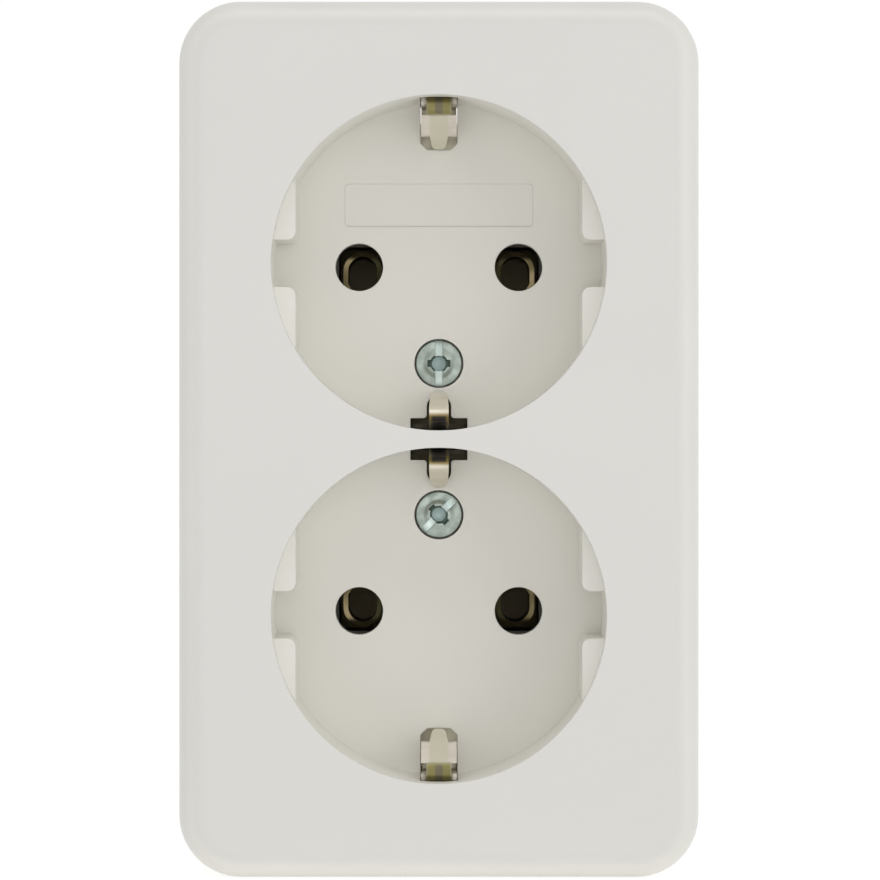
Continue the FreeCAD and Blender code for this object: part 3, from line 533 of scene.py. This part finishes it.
FINGER_PLATED = WorkedMetal(
    "finger_plated", linear(248, 240, 224), linear(238, 229, 210), roughness=0.4, metallic=0.2,
    tints=(
        Tint("Z", 3.2 * MM, 2.8 * MM, linear(168, 146, 96)),
        # Painted shade: the clip's legs turn dark brown towards the middle, and nearly black in their middle
        Tint("Z", 2.8 * MM, 2.6 * MM, linear(120, 106, 52)),
        Tint("Z", 2.9 * MM, 2.5 * MM, linear(36, 28, 24), half_width=0.85 * MM),
        # Painted shade: the clip is dark behind the well floor
        Tint("Y", -24.6 * MM, -22.6 * MM, BRASS_IN_PAINTED_SHADE, mirrored=False),
    ))
ZINC_STEEL = WorkedMetal(
    "zinc_steel", linear(156, 165, 157), linear(141, 150, 142), roughness=0.28,
    lines_across=(2600.0, 2600.0, 2600.0), line_depth=0.006 * MM, cloud_size=1.2 * MM,
    tints=(
        # Painted highlight and shade by depth in each piece's own box: on the screw heads, lighter from about
        # the slot floors down and darker again from the deep cross recess on
        Tint("Y", 0.055, 0.07, linear(184, 197, 192), mirrored=False, by_piece=True),
        Tint("Y", 0.11, 0.12, linear(128, 144, 141), mirrored=False, by_piece=True),
    ))


def dress(node: str, material: bpy.types.Material) -> None:
    """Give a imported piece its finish.

    Args:
        node: Name of the piece.
        material: Its finish.
    """
    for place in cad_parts[node].material_slots:
        place.material = material
    log.info("dressed %s with %s", node, material.name)


def new_object(name: str, data: bpy.types.ID) -> bpy.types.Object:
    """Put a new object into the scene.

    Args:
        name: Name of the object.
        data: Its mesh, lamp or camera.

    Returns:
        The object.
    """
    made = bpy.data.objects.new(name, data)
    bpy.context.scene.collection.objects.link(made)
    return made


def lathe(profile: Sequence[ProfilePoint], steps: int) -> bmesh.types.BMesh:
    """Turn a profile about the local Z axis.

    Args:
        profile: Radius and height of each point, from one end on the axis to the other.
        steps: Number of steps around.

    Returns:
        A closed mesh.
    """
    mesh = bmesh.new()
    angles = [math.tau * step / steps for step in range(steps)]
    rings = []
    for radius, height in profile:
        if radius < AXIS_RADIUS:
            rings.append([mesh.verts.new((0, 0, height))] * steps)
        else:
            rings.append([mesh.verts.new((radius * math.cos(a), radius * math.sin(a), height))
                          for a in angles])
    for lower, upper in zip(rings, rings[1:]):
        for step in range(steps):
            after = (step + 1) % steps
            corners = [lower[step], lower[after], upper[after], upper[step]]
            mesh.faces.new(list(dict.fromkeys(corners)))
    bmesh.ops.recalc_face_normals(mesh, faces=mesh.faces)
    return mesh


def arc_points(centre: ProfilePoint, radius: float, start: float, end: float,
               count: int) -> list[ProfilePoint]:
    """Points along an arc of a profile.

    Args:
        centre: Radius and height of the arc's centre.
        radius: Radius of the arc.
        start: First angle, in degrees.
        end: Last angle, in degrees.
        count: Number of steps.

    Returns:
        The points from the first angle to the last.
    """
    angles = [math.radians(start + (end - start) * step / count) for step in range(count + 1)]
    return [(centre[0] + radius * math.cos(a), centre[1] + radius * math.sin(a)) for a in angles]


def as_mesh(source: bmesh.types.BMesh, name: str) -> bpy.types.Mesh:
    """Turn a working mesh into mesh data and free it.

    Args:
        source: The working mesh.
        name: Name of the mesh data.

    Returns:
        The mesh data.
    """
    mesh = bpy.data.meshes.new(name)
    source.to_mesh(mesh)
    source.free()
    return mesh


def carve(body: bpy.types.Mesh, cutters: Iterable[bpy.types.Mesh], edge: float) -> bpy.types.Mesh:
    """Cut shapes out of a mesh and round its sharp edges.

    Args:
        body: Mesh to cut.
        cutters: Closed meshes to take away.
        edge: Width of the rounds.

    Returns:
        The carved mesh.
    """
    holder = new_object("carved", body)
    tools = [new_object("cutter", cutter) for cutter in cutters]
    for tool in tools:
        cut = holder.modifiers.new("cut", "BOOLEAN")
        cut.operation = "DIFFERENCE"
        cut.solver = "EXACT"
        cut.object = tool
    rounds = holder.modifiers.new("rounds", "BEVEL")
    rounds.limit_method = "ANGLE"
    rounds.angle_limit = math.radians(CARVE_ANGLE)
    rounds.width = edge
    rounds.segments = CARVE_SEGMENTS
    bpy.context.view_layer.update()
    result = bpy.data.meshes.new_from_object(holder.evaluated_get(bpy.context.evaluated_depsgraph_get()))
    for used in (holder, *tools):
        bpy.data.objects.remove(used)
    return result


class DriveKind(Enum):
    """What a driver turns a screw by."""

    SLOT = "slot"
    SLOT_AND_CROSS = "slot_and_cross"


@dataclass(frozen=True)
class ScrewForm:
    """Sizes of one kind of screw, in millimetres, but the overrun, the taper and the power are factors."""

    head_radius: float
    head_height: float
    thread_radius: float
    pitch: float
    drive: DriveKind
    head_round: float = 0.08
    crown_radius: float = 1.95
    crown_top_radius: float = 1.2
    crown_rise: float = 0.12
    dome: float = 0.1
    thread_depth: float = 0.34
    groove_power: float = 0.8
    slot_overrun: float = 1.2
    slot_width: float = 0.9
    slot_depth: float = 1.1
    wing_length: float = 1.45
    wing_width: float = 0.85
    wing_taper: float = 0.6
    wing_depth: float = 1.2
    cone_radius: float = 1.08
    cone_floor_radius: float = 0.85
    cone_depth: float = 1.5
    edge: float = 0.04
    tip_chamfer: float = 0.4


@dataclass
class MachineScrew:
    """Screw with its drive recess and thread, in place of an imported screw."""

    node: str
    body: str
    form: ScrewForm
    slot_angle: float = 0.0
    around: int = 96
    round_steps: int = 6
    dome_steps: int = 4
    crown_steps: int = 8
    cone_around: int = 32
    thread_around: int = 40
    samples_per_pitch: int = 8

    def head(self) -> bpy.types.Mesh:
        """Make the head with its recess, its underside at height zero.

        Returns:
            The head in millimetres.
        """
        form = self.form
        foot = form.edge * 2
        round_middle = form.head_radius - form.head_round
        round_height = form.head_height - form.dome - form.crown_rise - form.head_round
        dome_radius = (form.head_radius ** 2 + form.dome ** 2) / (2 * form.dome)
        dome_height = form.head_height - form.crown_rise - dome_radius
        dome_start = 90 - math.degrees(math.asin(round_middle / dome_radius))
        dome_end = 90 - math.degrees(math.asin(form.crown_radius / dome_radius))
        profile = [(0.0, 0.0), (form.head_radius - foot, 0.0), (form.head_radius, foot)]
        profile += arc_points((round_middle, round_height), form.head_round, 0, dome_start,
                              self.round_steps)
        profile += arc_points((0.0, dome_height), dome_radius, dome_start, dome_end, self.dome_steps)[1:]
        profile += self.crown_points(profile[-1][1])
        body = as_mesh(lathe(profile, self.around), "head")
        return carve(body, self.recess(), form.edge)

    def crown_points(self, rim_height: float) -> list[ProfilePoint]:
        """Profile of the low crown around the recess, from its rim to the axis.

        Args:
            rim_height: Height of the crown's rim in millimetres.

        Returns:
            Radius and height of each point in millimetres.
        """
        form = self.form
        width = form.crown_radius - form.crown_top_radius
        rise = form.head_height - rim_height
        points = []
        for step in range(1, self.crown_steps + 1):
            share = step / self.crown_steps
            climb = rise * (1 - math.cos(math.pi * share)) / 2
            points.append((form.crown_radius - width * share, rim_height + climb))
        return points + [(0.0, form.head_height)]

    def recess(self) -> list[bpy.types.Mesh]:
        """Make the shapes that the drive recess takes away.

        Returns:
            Closed cutters in millimetres.
        """
        form = self.form
        cutters = [self.bar(form.head_radius * form.slot_overrun, form.slot_width, 1.0, form.slot_depth, 0.0)]
        if form.drive is DriveKind.SLOT_AND_CROSS:
            wings = (form.wing_length, form.wing_width, form.wing_taper, form.wing_depth)
            cutters += [self.bar(*wings, 90.0), self.cone()]
        return cutters

    def cone(self) -> bpy.types.Mesh:
        """Make the round cutter in the middle of the head.

        Returns:
            The cutter in millimetres.
        """
        form = self.form
        top = form.head_height + form.dome
        floor = form.head_height - form.cone_depth
        profile = [(0.0, floor), (form.cone_floor_radius, floor), (form.cone_radius, top), (0.0, top)]
        return as_mesh(lathe(profile, self.cone_around), "cone")

    def bar(self, reach: float, width: float, taper: float, depth: float, angle: float) -> bpy.types.Mesh:
        """Make a straight cutter across the head.

        Args:
            reach: Half the length.
            width: Width at the head's face.
            taper: Share of the length and the width that is left at the bottom.
            depth: Depth below the head's highest point.
            angle: Turn about the axis, in degrees.

        Returns:
            The cutter in millimetres.
        """
        top = self.form.head_height + self.form.dome
        bottom = self.form.head_height - depth
        shape = bmesh.new()
        bmesh.ops.create_cube(shape, size=1.0)
        for vert in shape.verts:
            height, share = (top, 1.0) if vert.co.z > 0 else (bottom, taper)
            vert.co = (2 * reach * vert.co.x * share, width * share * vert.co.y, height)
        turn = Matrix.Rotation(math.radians(self.slot_angle + angle), 4, "Z")
        bmesh.ops.transform(shape, matrix=turn, verts=shape.verts)
        return as_mesh(shape, "bar")

    def shank(self, length: float) -> bpy.types.Mesh:
        """Make the threaded shank below the head.

        Args:
            length: Length of the shank in millimetres.

        Returns:
            The shank in millimetres.
        """
        rows = int(length / self.form.pitch * self.samples_per_pitch) + 1
        shape = bmesh.new()
        rings = []
        for row in range(rows + 1):
            height = -length * row / rows
            ring = []
            for step in range(self.thread_around):
                turn = step / self.thread_around
                radius = self.thread_at(height, turn, length)
                angle = math.tau * turn
                ring.append(shape.verts.new((radius * math.cos(angle), radius * math.sin(angle), height)))
            rings.append(ring)
        for upper, lower in zip(rings, rings[1:]):
            for step in range(self.thread_around):
                after = (step + 1) % self.thread_around
                shape.faces.new((upper[step], lower[step], lower[after], upper[after]))
        shape.faces.new(rings[0])
        shape.faces.new(rings[-1][::-1])
        bmesh.ops.recalc_face_normals(shape, faces=shape.faces)
        return as_mesh(shape, "shank")

    def thread_at(self, height: float, turn: float, length: float) -> float:
        """Radius of the thread at a point.

        Args:
            height: Height below the head, as a negative number of millimetres.
            turn: Share of a full turn around the axis.
            length: Length of the shank in millimetres.

        Returns:
            The radius in millimetres.
        """
        form = self.form
        phase = (height / form.pitch - turn) % 1.0
        groove = form.thread_depth * (1 - abs(2 * phase - 1)) ** form.groove_power
        tip_radius = form.thread_radius - max(0.0, form.tip_chamfer - (length + height))
        return min(form.thread_radius - groove, tip_radius)

    def build(self, material: bpy.types.Material) -> None:
        """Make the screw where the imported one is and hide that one.

        Args:
            material: Finish of the screw.
        """
        low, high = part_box(self.node)
        seat = low.y / MM + self.form.head_height
        joined = bmesh.new()
        for part in (self.head(), self.shank(high.y / MM - seat)):
            joined.from_mesh(part)
        middle = (low + high) / 2
        placed = Matrix(((MM, 0, 0, middle.x), (0, 0, -MM, seat * MM), (0, MM, 0, middle.z), (0, 0, 0, 1)))
        bmesh.ops.transform(joined, matrix=placed, verts=joined.verts)
        mesh = as_mesh(joined, self.node + "_detail")
        mesh.shade_smooth()
        mesh.set_sharp_from_angle(angle=math.radians(SMOOTH_ANGLE))
        mesh.materials.append(material)
        piece = new_object(self.node + "_detail", mesh)
        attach(piece, self.body)
        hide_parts(self.node)
        log.info("built %s with %d faces", piece.name, len(mesh.polygons))


@dataclass
class CoverAssembly:
    """White cover with its two screws and their nuts."""

    screw_form: ScrewForm = ScrewForm(head_radius=2.74, head_height=2.2, thread_radius=1.75, pitch=0.6,
                                      drive=DriveKind.SLOT_AND_CROSS)
    slot_angles: dict[str, float] = field(default_factory=lambda: {"upper": 90.0, "lower": 45.0})

    def build(self, zinc: bpy.types.Material) -> None:
        """Dress the cover and build its screws.

        Args:
            zinc: Finish of the screws and nuts.
        """
        dress("front_cover", COVER_WHITE.build())
        for end, angle in self.slot_angles.items():
            MachineScrew(f"cover_screw_{end}", HOUSING, self.screw_form, angle).build(zinc)
            dress(f"cover_nut_{end}", zinc)


@dataclass
class CarrierAssembly:
    """Dark carrier with its brass rails and fixing screws."""

    screw_form: ScrewForm = ScrewForm(head_radius=2.5, head_height=1.8, thread_radius=1.3, pitch=1.1,
                                      drive=DriveKind.SLOT, thread_depth=0.42, tip_chamfer=0.7)

    def build(self, zinc: bpy.types.Material) -> None:
        """Dress the carrier and its rails and build its screws.

        Args:
            zinc: Finish of the screws.
        """
        dress("contact_carrier", CARRIER_DARK.build())
        brass = RAIL_BRASS.build()
        for pole in ("line", "neutral"):
            dress(f"{pole}_rail", brass)
        for end in ("upper", "lower"):
            MachineScrew(f"carrier_screw_{end}", HOUSING, self.screw_form).build(zinc)


@dataclass
class EarthContacts:
    """Strap with the outer contacts, centre clip and rivet."""

    def build(self) -> None:
        """Dress the earth parts."""
        dress("earth_strap", CONTACT_PLATED.build())
        dress("earth_centre_clip", FINGER_PLATED.build())
        dress("earth_rivet", RIVET_BRASS.build())


@dataclass
class WireTerminals:
    """Rising cages and their screws."""

    names: tuple[str, ...] = ("line", "neutral", "earth")
    screw_form: ScrewForm = ScrewForm(head_radius=2.9, head_height=2.0, thread_radius=1.75, pitch=0.6,
                                      drive=DriveKind.SLOT_AND_CROSS)

    def build(self, zinc: bpy.types.Material) -> None:
        """Dress the cages and build their screws.

        Args:
            zinc: Finish of the cages and screws.
        """
        for name in self.names:
            dress(f"{name}_clamp", zinc)
            MachineScrew(f"{name}_screw", f"{name}_screw", self.screw_form).build(zinc)


@dataclass
class RearBase:
    """Plain back plate."""

    def build(self) -> None:
        """Dress the base."""
        dress("rear_base", BASE_WHITE.build())


@dataclass(frozen=True)
class AreaLamp:
    """Soft square lamp aimed at the socket."""

    name: str
    place: tuple[float, float, float]
    side: float
    power: float

    def build(self) -> None:
        """Hang the lamp."""
        data = bpy.data.lights.new(self.name, "AREA")
        data.size = self.side
        data.energy = self.power
        lamp = new_object(self.name, data)
        lamp.location = self.place
        lamp.rotation_euler = (-Vector(self.place)).to_track_quat("-Z", "Y").to_euler()


def seen_directly(bench: NodeBench) -> Socket:
    """Tell the rays that show a surface from those that carry its light to others.

    Args:
        bench: Bench of the tree.

    Returns:
        One for rays from the camera and for mirrored or passed ones, else zero.
    """
    path = bench.add("ShaderNodeLightPath")
    seen = bench.math("MAXIMUM", path.outputs["Is Camera Ray"], path.outputs["Is Glossy Ray"])
    return bench.math("MAXIMUM", seen, path.outputs["Is Transmission Ray"])


@dataclass
class Studio:
    """Soft plain light, a white backdrop and a pale floor."""

    sky: float = 0.48
    backdrop_glow: float = 1.02
    floor_side: float = 8.0
    floor_gap: float = 0.1 * MM
    floor_shade: float = 0.8
    floor_roughness: float = 0.9
    floor_glow: float = 0.57
    floor_bounce: float = 0.24
    lamps: tuple[AreaLamp, ...] = (
        AreaLamp("key", place=(0.04, -1.50, -0.04), side=0.5, power=1.2),
        AreaLamp("side", place=(0.93, -0.92, 0.02), side=0.9, power=2.7),
        AreaLamp("top", place=(0.06, -0.65, 1.10), side=0.9, power=2.9),
    )

    def build(self) -> None:
        """Set up the backdrop, the lamps and the floor."""
        self.backdrop()
        for lamp in self.lamps:
            lamp.build()
        self.floor()
        bpy.context.scene.view_settings.view_transform = "Standard"
        log.info("studio with %d lamps", len(self.lamps))

    def backdrop(self) -> None:
        """Make the world white to the eye and softer as a light."""
        world = bpy.data.worlds.new("studio")
        bpy.context.scene.world = world
        world.use_nodes = True
        world.node_tree.nodes.clear()
        bench = NodeBench(world.node_tree)
        strength = bench.band(seen_directly(bench), 0.0, 1.0, self.sky, self.backdrop_glow)
        sky = bench.add("ShaderNodeBackground", Color=shaded(WHITE), Strength=strength)
        bench.add("ShaderNodeOutputWorld", Surface=sky.outputs[0])

    def floor(self) -> None:
        """Lay the floor just under the socket."""
        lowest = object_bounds()[0][2] - self.floor_gap
        half = self.floor_side / 2
        corners = [(-half, -half, lowest), (half, -half, lowest), (half, half, lowest), (-half, half, lowest)]
        mesh = bpy.data.meshes.new("floor")
        mesh.from_pydata(corners, [], [(0, 1, 2, 3)])
        material, bench, shader = new_material("studio_floor")
        glow = bench.band(seen_directly(bench), 0.0, 1.0, self.floor_bounce, self.floor_glow)
        bench.fill(shader, Base_Color=shaded(WHITE, self.floor_shade), Roughness=self.floor_roughness,
                   Emission_Color=shaded(WHITE), Emission_Strength=glow)
        mesh.materials.append(material)
        floor = new_object("floor", mesh)
        floor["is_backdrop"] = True


@dataclass(frozen=True)
class FrontCamera:
    """Camera straight in front of the socket, as the photograph was taken."""

    distance: float = 0.612
    lens: float = 215.8
    sensor_width: float = 36.0
    clip_start: float = 0.01
    image_side: float = 880.0
    right_of_middle: float = 1.1
    below_middle: float = 0.9

    def build(self) -> None:
        """Place the camera and make it the scene's own."""
        data = bpy.data.cameras.new("front")
        data.sensor_width = self.sensor_width
        data.lens = self.lens
        data.clip_start = self.clip_start
        data.shift_x = self.right_of_middle / self.image_side
        data.shift_y = -self.below_middle / self.image_side
        camera = new_object("front", data)
        camera.location = (0.0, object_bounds()[0][1] - self.distance, 0.0)
        camera.rotation_euler = (math.radians(90), 0.0, 0.0)
        bpy.context.scene.camera = camera


def main() -> None:
    """Build every piece, the studio and the camera."""
    logging.basicConfig(level=logging.INFO, format="%(name)s: %(message)s")
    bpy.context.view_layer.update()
    zinc = ZINC_STEEL.build()
    CoverAssembly().build(zinc)
    RearBase().build()
    CarrierAssembly().build(zinc)
    EarthContacts().build()
    WireTerminals().build(zinc)
    Studio().build()
    FrontCamera().build()


if __name__ == "__main__":
    main()
